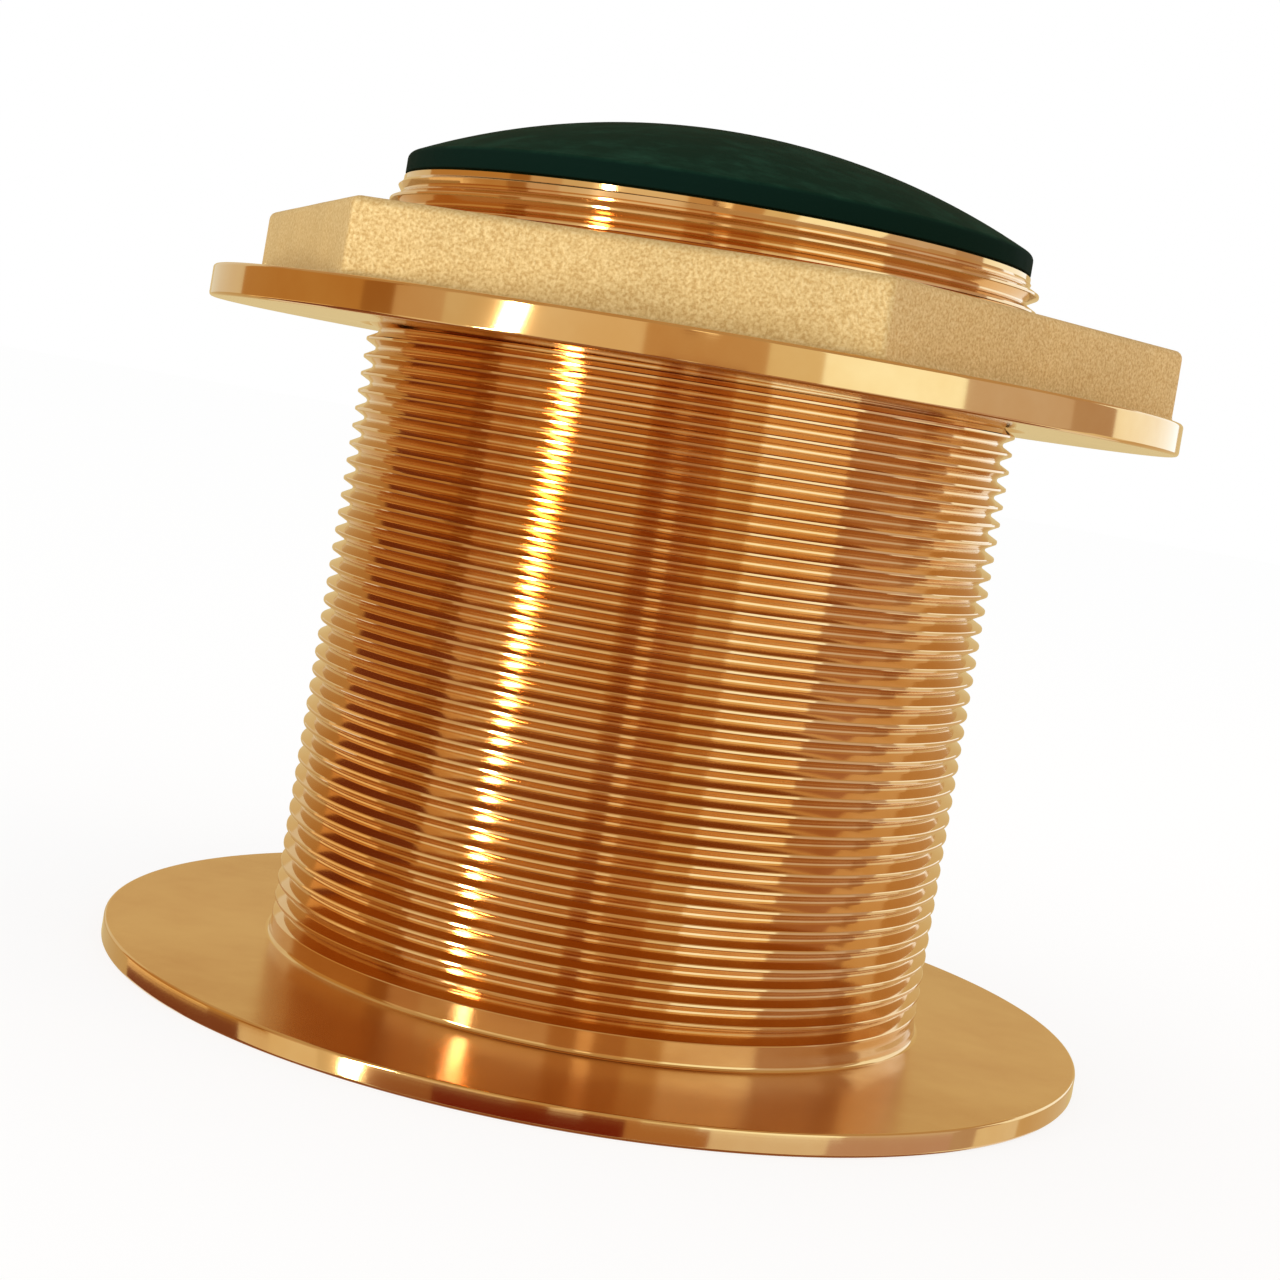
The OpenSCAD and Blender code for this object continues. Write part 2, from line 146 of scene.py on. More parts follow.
def castBronze(name, skin):
    material, tree = newMaterial(name)
    place = addNode(tree, "ShaderNodeTexCoord").outputs["Object"]
    grain = addNode(tree, "ShaderNodeTexNoise",
        {"Scale": perMm(skin["grainMm"]), "Detail": 2.0, "Roughness": 0.55}, {"Vector": place})
    pits = addNode(tree, "ShaderNodeTexVoronoi",
        {"feature": "SMOOTH_F1", "Scale": perMm(skin["pitMm"]), "Smoothness": 0.6}, {"Vector": place})
    height = addNode(tree, "ShaderNodeMath", {"operation": "MULTIPLY_ADD", 1: skin["pitShare"]},
        {0: pits.outputs["Distance"], 2: grain.outputs["Fac"]})
    # The grain paints small shaded and glinting specks into the colour: painted shade and painted glints
    speckle = addNode(tree, "ShaderNodeValToRGB",
        {"stops": list(zip(skin["grainStops"], (skin["shaded"], skin["colour"], skin["glint"])))},
        {"Fac": grain.outputs["Fac"]})
    cloud = addNode(tree, "ShaderNodeTexNoise",
        {"Scale": perMm(skin["cloudMm"]), "Detail": 3.0}, {"Vector": place})
    level = addNode(tree, "ShaderNodeMapRange",
        {"To Min": skin["cloudLevels"][0], "To Max": skin["cloudLevels"][1]}, {"Value": cloud.outputs["Fac"]})
    colour = addNode(tree, "ShaderNodeVectorMath", {"operation": "SCALE"},
        {0: speckle.outputs["Color"], "Scale": level.outputs["Result"]})
    rough = addNode(tree, "ShaderNodeMapRange",
        {"To Min": skin["roughness"] * skin["roughPits"], "To Max": skin["roughness"] * skin["roughPeaks"]},
        {"Value": grain.outputs["Fac"]})
    bump = addNode(tree, "ShaderNodeBump",
        {"Strength": 1.0, "Distance": skin["depthMm"] * mm}, {"Height": height.outputs["Value"]})
    shader = addNode(tree, "ShaderNodeBsdfPrincipled", {"Metallic": skin["metal"]}, {
        "Base Color": colour.outputs["Vector"], "Roughness": rough.outputs["Result"], "Normal": bump.outputs["Normal"]})
    addNode(tree, "ShaderNodeOutputMaterial", links={"Surface": shader.outputs["BSDF"]})
    return material


# Moulded polyurethane: nearly black green on its upright rim, greyer on top, where painted light from above and dust
# lighten the satin skin, its scuffs paler with dust and painted sheen. slopes: how far up a face has to look before
# the lighter top starts, and where it is full
resinSkin = {
    "colour": "#071b15", "top": "#0b261a", "dustAndSheen": "#1b3a2b", "dustAndSheenStops": (0.45, 0.8), "slopes": (0.3, 0.9),
    "roughness": 0.8, "gloss": 0.03, "scuffMm": 3, "stretch": (0.6, 1.0, 1.0), "skinMm": 0.6, "depthMm": 0.01,
}


def greenResin(name, skin):
    material, tree = newMaterial(name)
    place = addNode(tree, "ShaderNodeTexCoord")
    stretch = addNode(tree, "ShaderNodeMapping", {"Scale": skin["stretch"]}, {"Vector": place.outputs["Object"]})
    scuff = addNode(tree, "ShaderNodeTexNoise",
        {"Scale": perMm(skin["scuffMm"]), "Detail": 6.0, "Roughness": 0.7}, {"Vector": stretch.outputs["Vector"]})
    fine = addNode(tree, "ShaderNodeTexNoise",
        {"Scale": perMm(skin["skinMm"]), "Detail": 2.0}, {"Vector": place.outputs["Object"]})
    # The top's colour, and a paler colour in its scuffed patches that is dust and painted sheen
    upper = addNode(tree, "ShaderNodeValToRGB",
        {"stops": list(zip(skin["dustAndSheenStops"], (skin["top"], skin["dustAndSheen"])))}, {"Fac": scuff.outputs["Fac"]})
    # Faces that look up take the lighter top: painted light from above, together with dust
    facing = addNode(tree, "ShaderNodeSeparateXYZ", links={0: place.outputs["Normal"]})
    upwardLightAndDust = addNode(tree, "ShaderNodeMapRange",
        {"From Min": skin["slopes"][0], "From Max": skin["slopes"][1]}, {"Value": facing.outputs["Z"]})
    colour = addNode(tree, "ShaderNodeMix",  # inputs 6 and 7 are its colours
        {"data_type": "RGBA", 6: linear(skin["colour"])}, {0: upwardLightAndDust.outputs["Result"], 7: upper.outputs["Color"]})
    rough = addNode(tree, "ShaderNodeMapRange", roughRange(skin["roughness"]), {"Value": scuff.outputs["Fac"]})
    bump = addNode(tree, "ShaderNodeBump",
        {"Strength": 1.0, "Distance": skin["depthMm"] * mm}, {"Height": fine.outputs["Fac"]})
    shader = addNode(tree, "ShaderNodeBsdfPrincipled", {"Specular IOR Level": skin["gloss"]}, {
        "Base Color": colour.outputs[2], "Roughness": rough.outputs["Result"], "Normal": bump.outputs["Normal"]})
    addNode(tree, "ShaderNodeOutputMaterial", links={"Surface": shader.outputs["BSDF"]})
    return material


# Pieces that sit inside or underneath. Each finish: two colours that its grain mixes, and how it was made
innerFinishes = {
    "mouldedRubber": {  # matt black with a faint bloom
        "nodes": ["cap_seal"], "colours": ("#161616", "#2a2928"),
        "roughness": 0.65, "grainMm": 1.2, "depthMm": 0.02},
    "castPolyurethane": {  # black window, satin with soft swirls from pouring
        "nodes": ["acoustic_window"], "colours": ("#1d1f21", "#2c2f31"),
        "roughness": 0.4, "grainMm": 6, "depthMm": 0.01},
    "groundEpoxy": {  # filled epoxy, ground flat, speckled by its filler
        "nodes": ["matching_layer"], "colours": ("#8d7a55", "#b09a6c"),
        "roughness": 0.55, "grainMm": 0.7, "depthMm": 0.02},
    "silveredCeramic": {  # fired ceramic under a screened silver coat
        "nodes": ["piezo_disc"], "colours": ("#c9c6bd", "#aaa69a"),
        "roughness": 0.38, "metallic": 0.9, "grainMm": 1.6, "depthMm": 0.01},
    "pressedCork": {  # bonded granules, light and dark
        "nodes": ["cork_ring", "cork_disc"], "colours": ("#b98a52", "#6f4a25"),
        "roughness": 0.9, "grainMm": 2.2, "depthMm": 0.15, "cells": True},
    "mouldedAcetal": {  # ivory white, slightly waxy
        "nodes": ["element_cup"], "colours": ("#dedbd0", "#cfcabc"),
        "roughness": 0.35, "grainMm": 4, "depthMm": 0.01},
    "castAmberResin": {  # poured potting with darker swirls
        "nodes": ["potting_layer"], "colours": ("#6b4a22", "#8a6430"),
        "roughness": 0.2, "grainMm": 7, "depthMm": 0.02},
    "turnedBrass": {  # bright yellow, a little uneven from the tool
        "nodes": ["board_posts"], "colours": ("#d2b264", "#b8954a"),
        "roughness": 0.25, "metallic": 1.0, "grainMm": 0.8, "depthMm": 0.01},
    "glassEpoxyBoard": {  # green mask over a glass weave
        "nodes": ["terminal_board"], "colours": ("#2b6a3a", "#1f5230"),
        "roughness": 0.4, "grainMm": 0.9, "depthMm": 0.02, "cells": True},
    "tinPlatedSteel": {  # pale grey, clouded by the tin
        "nodes": ["board_screws", "terminal_pins", "core_screw", "core_washer", "core_nut"],
        "colours": ("#d0d2d3", "#b0b2b4"), "roughness": 0.3, "metallic": 1.0, "grainMm": 0.6, "depthMm": 0.005},
    "groundFerrite": {  # grey-black sintered grains
        "nodes": ["core_lower", "core_upper"], "colours": ("#3a3b3e", "#27282a"),
        "roughness": 0.5, "grainMm": 0.8, "depthMm": 0.02},
    "mouldedNylon": {  # cream, softly uneven
        "nodes": ["winding_bobbin"], "colours": ("#e9e4d8", "#d6d0c0"),
        "roughness": 0.45, "grainMm": 3, "depthMm": 0.01},
    # Enamelled copper: its darker colour, laid by noise, is painted shade between the turns
    "enamelledCopper": {  # lacquered wire, darker between the turns
        "nodes": ["winding", "element_leads"], "colours": ("#b8672f", "#7a3d18"),
        "roughness": 0.25, "metallic": 1.0, "grainMm": 0.9, "depthMm": 0.05},
}
innerStops = (0.3, 0.75)  # where the grain shows its first and its second colour


def innerFinish(name, finish):
    material, tree = newMaterial(name)
    place = addNode(tree, "ShaderNodeTexCoord").outputs["Object"]
    scale = perMm(finish["grainMm"])
    if finish.get("cells"):
        height = addNode(tree, "ShaderNodeTexVoronoi", {"Scale": scale}, {"Vector": place}).outputs["Distance"]
    else:
        height = addNode(tree, "ShaderNodeTexNoise", {"Scale": scale, "Detail": 4.0}, {"Vector": place}).outputs["Fac"]
    colour = addNode(tree, "ShaderNodeValToRGB", {"stops": list(zip(innerStops, finish["colours"]))}, {"Fac": height})
    rough = addNode(tree, "ShaderNodeMapRange", roughRange(finish["roughness"]), {"Value": height})
    bump = addNode(tree, "ShaderNodeBump", {"Strength": 1.0, "Distance": finish["depthMm"] * mm}, {"Height": height})
    shader = addNode(tree, "ShaderNodeBsdfPrincipled", {"Metallic": finish.get("metallic", 0.0)}, {
        "Base Color": colour.outputs["Color"], "Roughness": rough.outputs["Result"], "Normal": bump.outputs["Normal"]})
    addNode(tree, "ShaderNodeOutputMaterial", links={"Surface": shader.outputs["BSDF"]})
    return material


def dressInnerNodes():
    for name, finish in innerFinishes.items():
        material = innerFinish(name, finish)
        for nodeName in finish["nodes"]:
            mesh = cadNodes[nodeName].data
            mesh.materials.clear()
            mesh.materials.append(material)
    print("inner pieces dressed:", sum(len(f["nodes"]) for f in innerFinishes.values()))


# One mesh object from points in millimetres. faceSlots gives each face's material
def meshPiece(name, points, faces, materials, faceSlots, body, node, sharpDeg=50):
    mesh = bpy.data.meshes.new(name)
    mesh.from_pydata([(x * mm, y * mm, z * mm) for x, y, z in points], [], faces)
    for material in materials:
        mesh.materials.append(material)
    mesh.polygons.foreach_set("material_index", faceSlots)
    mesh.polygons.foreach_set("use_smooth", [True] * len(faces))
    mesh.set_sharp_from_angle(angle=math.radians(sharpDeg))
    mesh.validate()
    mesh.update()
    piece = bpy.data.objects.new(name, mesh)
    bpy.context.scene.collection.objects.link(piece)
    weighted = piece.modifiers.new("even shading", "WEIGHTED_NORMAL")
    weighted.keep_sharp = True
    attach(piece, body)
    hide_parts(node)


# Arc in a half section, from one angle to another, ends included
def arc(centre, radius, fromDeg, toDeg, steps):
    angles = [math.radians(fromDeg + (toDeg - fromDeg) * i / steps) for i in range(steps + 1)]
    return [(centre[0] + radius * math.cos(a), centre[1] + radius * math.sin(a)) for a in angles]


def ringPoints(radius, z, count):
    turn = 2 * math.pi / count
    return [(radius * math.cos(j * turn), radius * math.sin(j * turn), z) for j in range(count)]


# Faces between two rings of points that start at these indices
def band(lower, upper, count):
    return [(lower + j, lower + (j + 1) % count, upper + (j + 1) % count, upper + j) for j in range(count)]


# Closed solid of revolution from a half section that runs anticlockwise
def lathe(section, count):
    points, faces = [], []
    for radius, z in section:
        points += ringPoints(radius, z, count)
    for k in range(len(section)):
        faces += band(k * count, (k + 1) % len(section) * count, count)
    return points, faces


# Housing: flange and stem in one, with a right-hand V-thread that runs out above the flange. sharpDeg is low, so
# that each facet of the thread mirrors its own narrow slice of the room
housing = {
    "flangeT": 2.4, "flangeTopEdge": 0.3, "flangeLowEdge": 0.4, "footFillet": 0.5, "landH": 0.55,
    "crestR": 37.5, "rimR": 36.25, "boreR": 31.04, "windowSeatR": 33.64, "windowTop": 3.0,
    "pitch": 2.0, "crestFlat": 0.22, "crestEase": 0.1, "rootRound": 0.28, "flankDeg": 30, "startDeg": -54,
    "runOutTurn": 0.4, "rimH": 0.8, "rimEdge": 0.25, "tipSlope": 1.0, "threadGap": 0.05, "segments": 208,
    "rootDegs": (60, 20), "edgeSteps": 4, "filletSteps": 5, "sharpDeg": 25,
}


# One pitch of the groove: (height, depth) from the lower crest edge to the upper one
def groove(sizes):
    slope = math.tan(math.radians(sizes["flankDeg"]))
    middle = (sizes["pitch"] - sizes["crestFlat"]) / 2
    ease = sizes["crestEase"]
    sharpDepth = (middle - ease / 2) / slope + ease * slope / 2
    bottom = sharpDepth - 2 * sizes["rootRound"]
    half = [(0.0, 0.0), (ease, ease * slope)]
    for a in map(math.radians, sizes["rootDegs"]):
        half.append((middle - sizes["rootRound"] * math.sin(a), bottom + sizes["rootRound"] * math.cos(a)))
    return half + [(2 * middle - z, depth) for z, depth in reversed(half)]


def smoothStep(x):
    x = min(1.0, max(0.0, x))
    return x * x * (3 - 2 * x)


def buildHousing(faced, rim, thread):
    s = housing
    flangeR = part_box("housing")[1].x / mm
    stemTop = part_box("housing")[1].z / mm
    count = s["segments"]
    low, high = s["flangeLowEdge"], s["flangeTopEdge"]
    fillet, landTop = s["footFillet"], s["flangeT"] + s["landH"]
    face, edge, helix = 0, 1, 2  # places in the list of finishes
    section = [(s["boreR"], stemTop, face), (s["boreR"], s["windowTop"], face)]
    section += [(s["windowSeatR"], s["windowTop"], face), (s["windowSeatR"], 0.0, face)]
    section += [(r, z, edge) for r, z in arc((flangeR - low, low), low, -90, 0, s["edgeSteps"])]
    section += [(r, z, edge) for r, z in arc((flangeR - high, s["flangeT"] - high), high, 0, 90, s["edgeSteps"])]
    section[-1] = section[-1][:2] + (face,)  # the flange's face starts here
    foot = (s["crestR"] + fillet, s["flangeT"] + fillet)
    section += [(r, z, edge) for r, z in arc(foot, fillet, 270, 180, s["filletSteps"])]
    section += [(s["crestR"], landTop, helix)]

    points, faces, slots = [], [], []
    for radius, z, slot in section:
        points += ringPoints(radius, z, count)
    for k in range(len(section) - 1):
        faces += band(k * count, (k + 1) * count, count)
        slots += [section[k][2]] * count

    # Bare rim over the thread, then back to the bore
    rimRing = len(points)
    rimZ = stemTop - s["rimH"]
    points += ringPoints(s["rimR"], rimZ, count)
    points += ringPoints(s["rimR"], stemTop - s["rimEdge"], count)
    points += ringPoints(s["rimR"] - s["rimEdge"], stemTop, count)
    faces += band(rimRing, rimRing + count, count) + band(rimRing + count, rimRing + 2 * count, count)
    faces += band(rimRing + 2 * count, 0, count)
    slots += [edge] * (3 * count)

    # Thread rows climb one pitch per turn, so a row's end meets the row one pitch higher. At the rim they are cut off
    profile = groove(s)
    perTurn = len(profile)
    rows = math.ceil((rimZ - landTop) / s["pitch"]) * perTurn + 1
    index = {}
    for row in range(rows):
        z, depth = profile[row % perTurn]
        for column in range(count):
            turn = row // perTurn + column / count
            height = landTop + s["threadGap"] + z + turn * s["pitch"]
            if height >= rimZ - s["threadGap"]:
                index[row, column] = rimRing + column
                continue
            radius = s["crestR"] - depth * smoothStep(turn / s["runOutTurn"])
            radius = min(radius, s["rimR"] + (rimZ - height) * s["tipSlope"])
            a = column * 2 * math.pi / count
            index[row, column] = len(points)
            points.append((radius * math.cos(a), radius * math.sin(a), height))

    def at(row, column):
        if column == count:
            row, column = row + perTurn, 0
        return index.get((row, column), rimRing + column)

    land = (len(section) - 1) * count
    quads = [(land + j, land + j + 1, at(0, j + 1), at(0, j)) for j in range(count - 1)]
    quads.append((land + count - 1, land) + tuple(at(row, 0) for row in range(perTurn + 1)) + (at(0, count - 1),))
    for row in range(rows - 1):
        quads += [(at(row, j), at(row, j + 1), at(row + 1, j + 1), at(row + 1, j)) for j in range(count)]
    for quad in quads:
        corners = [v for k, v in enumerate(quad) if v != quad[k - 1]]
        if len(set(corners)) > 2:
            faces.append(tuple(corners))
            slots.append(helix)
    spin = Matrix.Rotation(math.radians(s["startDeg"]), 3, "Z")  # where the thread starts
    points = [spin @ Vector(point) for point in points]
    meshPiece("bronze_housing", points, faces, [faced, rim, thread], slots,
        "transducer", "housing", s["sharpDeg"])
    print("housing built:", len(faces), "faces")


# Hull nut: a cast hexagon with eased edges on a turned collar
hullNut = {
    "collarT": 3.6, "collarEdge": 0.4, "boreR": 37.8, "leadIn": 0.8, "apothem": 47.0, "cornerR": 0.8,
    "topRound": 0.9, "fillet": 0.7, "wobble": 0.05, "wobbleMm": 8, "flatSteps": 24, "sideRows": 6,
    "cornerShares": (-1.05, -0.6, -0.2, 0.2, 0.6, 1.05), "leastCornerR": 0.1, "roundDegs": (0, 22, 45, 68, 90),
    "edgeSteps": 3, "sharpDeg": 40,
}


# Radius of a hexagon with rounded corners at an angle, a corner lying on +X
def hexRadius(angle, apothem, cornerR):
    side, half = math.pi / 3, math.pi / 6
    off = abs((angle + half) % side - half)
    centre = (apothem - cornerR) / math.cos(half)
    tangent = math.atan2(cornerR / 2, centre + cornerR * math.cos(half))
    if off < tangent:
        return centre * math.cos(off) + math.sqrt(cornerR ** 2 - (centre * math.sin(off)) ** 2)
    return apothem / math.cos(half - off)


def buildHullNut(cast, turned):
    s = hullNut
    lowCorner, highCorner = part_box("hull_nut")
    collarR, z0, z1 = highCorner.x / mm, lowCorner.z / mm, highCorner.z / mm
    hexZ, edge, lead = z0 + s["collarT"], s["collarEdge"], s["leadIn"]
    skin, lathed = 0, 1  # places in the list of finishes

    # The hexagon has its points close together at the corners, the round rings have as many, evenly spaced
    sides, sideDeg = 6, 60
    tangent = math.degrees(math.atan2(s["cornerR"] / 2, s["apothem"] / math.cos(math.pi / 6)))
    corner = [tangent * share for share in s["cornerShares"]]
    flatDeg = sideDeg + corner[0] - corner[-1]
    flats = [corner[-1] + flatDeg * i / s["flatSteps"] for i in range(1, s["flatSteps"])]
    perSide = len(corner + flats)
    middle = (len(corner) - 1) / 2
    angles = [math.radians(sideDeg * k + a) for k in range(sides) for a in corner + flats]
    evenAngles = [math.radians(sideDeg * k + (j - middle) * sideDeg / perSide)
        for k in range(sides) for j in range(perSide)]
    count = len(angles)

    # Rings run up the outside and down the bore. Each is (radius, or apothem and corner radius, height, material)
    rings = [(s["boreR"] + lead, None, z0, lathed)]
    rings += [(r, None, z, lathed) for r, z in arc((collarR - edge, z0 + edge), edge, -90, 0, s["edgeSteps"])]
    rings += [(r, None, z, lathed) for r, z in arc((collarR - edge, hexZ - edge), edge, 0, 90, s["edgeSteps"])]
    rings[-1] = rings[-1][:3] + (skin,)  # the collar's upper face is left as cast
    for a in map(math.radians, s["roundDegs"]):
        grow = s["fillet"] * (1 - math.sin(a))
        rings.append((s["apothem"] + grow, s["cornerR"] + grow, hexZ + s["fillet"] * (1 - math.cos(a)), skin))
    sideLow, sideHigh = hexZ + s["fillet"], z1 - s["topRound"]
    for i in range(1, s["sideRows"]):
        rings.append((s["apothem"], s["cornerR"], sideLow + (sideHigh - sideLow) * i / s["sideRows"], skin))
    for a in map(math.radians, s["roundDegs"]):
        cut = s["topRound"] * (1 - math.cos(a))
        cornerR = max(s["leastCornerR"], s["cornerR"] - cut)
        rings.append((s["apothem"] - cut, cornerR, sideHigh + s["topRound"] * math.sin(a), skin))
    rings += [(s["boreR"] + lead, None, z1, lathed), (s["boreR"], None, z1 - lead, lathed)]
    rings += [(s["boreR"], None, z0 + lead, lathed)]

    points, faces, slots = [], [], []
    for size, cornerR, z, slot in rings:
        for a in evenAngles if cornerR is None else angles:
            radius = size if cornerR is None else hexRadius(a, size, cornerR)
            spot = Vector((radius * math.cos(a), radius * math.sin(a), z))
            if cornerR is not None:
                ripple = s["wobble"] * noise.noise(spot / s["wobbleMm"])
                spot.x += ripple * math.cos(a)
                spot.y += ripple * math.sin(a)
            points.append(tuple(spot))
    for k, ring in enumerate(rings):
        faces += band(k * count, (k + 1) % len(rings) * count, count)
        slots += [ring[3]] * count
    meshPiece("cast_hull_nut", points, faces, [cast, turned], slots,
        "nut", "hull_nut", s["sharpDeg"])
    print("hull nut built:", len(faces), "faces")


# End cap: a shallow moulded dome whose spigot sits in the stem
endCap = {
    "rimH": 2.2, "domeRise": 8.5, "edgeR": 0.8, "domeT": 3.4, "spigotH": 7.0, "spigotR": 30.89, "spigotInR": 26.39,
    "grooveR": 28.89, "grooveW": 2.5, "inletR": 5.35, "bushFlangeR": 7.55, "rimBevel": 0.15,
    "edgeSteps": 5, "domeSteps": 24, "innerSteps": 8, "segments": 160,
}


def buildEndCap(resin):
    s = endCap
    lowCorner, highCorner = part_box("end_cap")
    capR, bottom = highCorner.x / mm, lowCorner.z / mm
    stemTop = bottom + s["spigotH"]
    domeR = (capR ** 2 + s["domeRise"] ** 2) / (2 * s["domeRise"])
    centreZ = stemTop + s["rimH"] + s["domeRise"] - domeR
    edgeC = capR - s["edgeR"]
    edgeZ = centreZ + math.sqrt((domeR - s["edgeR"]) ** 2 - edgeC ** 2)
    lean = math.degrees(math.atan2(edgeZ - centreZ, edgeC))
    inletLean = math.degrees(math.acos(s["inletR"] / domeR))
    innerR = domeR - s["domeT"]
    sealZ = stemTop - s["spigotH"] / 2
    half = s["grooveW"] / 2
    section = [(s["spigotInR"], bottom), (s["spigotR"], bottom), (s["spigotR"], sealZ - half)]
    section += [(s["grooveR"], sealZ - half), (s["grooveR"], sealZ + half), (s["spigotR"], sealZ + half)]
    section += [(s["spigotR"], stemTop), (capR - s["rimBevel"], stemTop), (capR, stemTop + s["rimBevel"])]
    section += arc((edgeC, edgeZ), s["edgeR"], 0, lean, s["edgeSteps"])
    section += arc((0, centreZ), domeR, lean, inletLean, s["domeSteps"])[1:]
    seatZ = centreZ + math.sqrt(innerR ** 2 - s["bushFlangeR"] ** 2)
    section += [(s["inletR"], seatZ)]
    inner = [math.degrees(math.acos(r / innerR)) for r in (s["bushFlangeR"], s["spigotInR"])]
    section += arc((0, centreZ), innerR, inner[0], inner[1], s["innerSteps"])
    points, faces = lathe(section, s["segments"])
    meshPiece("green_end_cap", points, faces, [resin], [0] * len(faces), "transducer", "end_cap")
    print("end cap built:", len(faces), "faces")


# Cable bush: soft black sleeve with a rolled mouth, flush with the dome
cableBush = {
    "boreR": 3.4, "sleeveR": 5.2, "flangeR": 7.4, "flangeT": 1.5, "mouth": 0.5, "topEdge": 0.2,
    "edgeSteps": 3, "mouthSteps": 4, "segments": 72,
}


def buildCableBush(rubber):
    s = cableBush
    lowCorner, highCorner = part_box("cable_bush")
    z0, z1 = lowCorner.z / mm, highCorner.z / mm
    mouth, edge, flangeTop = s["mouth"], s["topEdge"], z0 + s["flangeT"]
    section = [(s["boreR"], z0), (s["flangeR"], z0), (s["flangeR"], flangeTop), (s["sleeveR"], flangeTop)]
    section += arc((s["sleeveR"] - edge, z1 - edge), edge, 0, 90, s["edgeSteps"])
    section += arc((s["boreR"] + mouth, z1 - mouth), mouth, 90, 180, s["mouthSteps"])
    points, faces = lathe(section, s["segments"])
    meshPiece("rubber_cable_bush", points, faces, [rubber], [0] * len(faces), "transducer", "cable_bush")
    print("cable bush built:", len(faces), "faces")


# Camera: where the photograph was taken from. Azimuth 0 looks along +Y
viewpoint = {
    "photoPixels": 1280, "focalPixels": 2384.6, "distanceMm": 275.4, "heightMm": 66.47, "azimuthDeg": 11.33,
    "headingDeg": 12.15, "pitchDeg": -1.47, "rollDeg": 9.53, "centreRow": 480, "sensorMm": 36, "nearestM": 0.01,
}


def placeCamera():
    v = viewpoint
    data = bpy.data.cameras.new("photo_camera")
    data.sensor_width = v["sensorMm"]
    data.lens = v["focalPixels"] / v["photoPixels"] * data.sensor_width
    data.shift_y = (v["centreRow"] - v["photoPixels"] / 2) / v["photoPixels"]
    data.clip_start = v["nearestM"]
    camera = bpy.data.objects.new("photo_camera", data)
    bpy.context.scene.collection.objects.link(camera)
    a = math.radians(v["azimuthDeg"])
    place = Vector((math.sin(a), -math.cos(a), 0)) * v["distanceMm"] + Vector((0, 0, v["heightMm"]))
    turn = Matrix.Rotation(math.radians(v["headingDeg"]), 4, "Z")
    turn = turn @ Matrix.Rotation(math.radians(90 + v["pitchDeg"]), 4, "X")
    turn = turn @ Matrix.Rotation(math.radians(v["rollDeg"]), 4, "Z")
    camera.matrix_world = Matrix.Translation(place * mm) @ turn
    bpy.context.scene.camera = camera
    print("camera placed")


# Studio: a white room, with cards round the object that only its gloss sees. Lengths are in metres, reaches are shares
# of the radius, and azimuths are in degrees from the camera, left negative
studio = {
    "radius": 0.9, "lampReach": 0.94, "lidReach": 1.05, "lidSides": 48, "cardStepDeg": 4,
    "roomForDiffuse": 1.0, "floorPaint": "#fafaf9", "floorGlow": 0.8, "floorHalf": 4.0,
}
lamps = [  # azimuth at mid height, width and lean in degrees, lower and upper edge, radiance
    {"name": "strip_lamp", "azimuth": -43.3, "widthDeg": 3.8, "lean": 20, "rows": (-0.27, 0.18), "radiance": 54,
        "colour": "#fffaf2"},
    {"name": "side_fill", "azimuth": 85, "widthDeg": 27, "lean": 0, "rows": (-0.1, 0.3), "radiance": 7.0,
        "colour": "#ffb860", "glossy": False},  # warms the matt casting and leaves the mirrors alone
]
